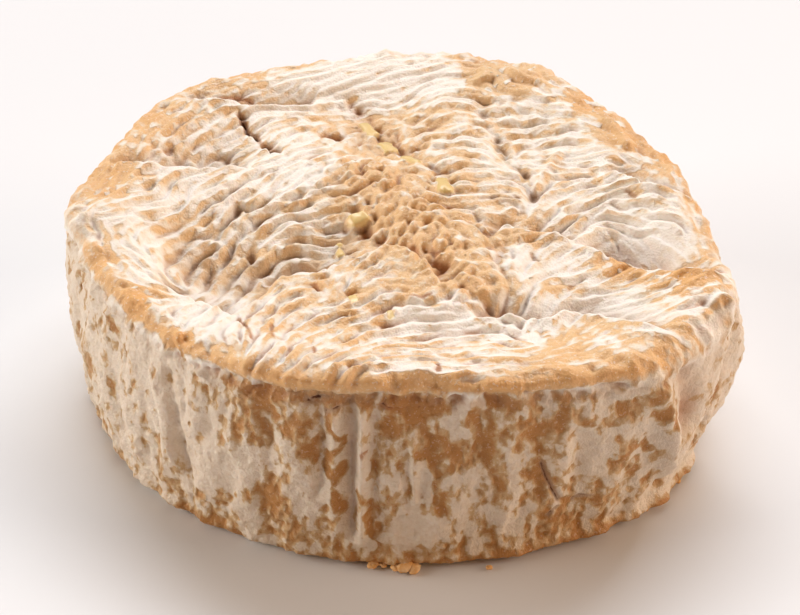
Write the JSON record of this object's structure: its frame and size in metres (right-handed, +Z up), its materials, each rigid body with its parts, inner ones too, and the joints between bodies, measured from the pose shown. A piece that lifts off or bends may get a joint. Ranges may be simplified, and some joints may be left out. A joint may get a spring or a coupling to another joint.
{
  "type": "camembert",
  "caption": "Low round wheel of soft ripened cheese with a sunken, folded and rippled top and a furrowed wall, resting on its flat underside.",
  "frame": {"origin": "centre of the flat underside, about which the wheel is drawn", "axes": "+Z up through the wheel's thickness, +Y towards the back of the wheel as pictured, +X to its right"},
  "size_m": [0.1111, 0.1085, 0.0366],
  "materials": {
    "bloomy_rind": "soft matt rind: white mould worn through to tan and orange on its crests"
  },
  "bodies": {
    "root": {"wheel": "bloomy_rind"}
  },
  "joints": []
}
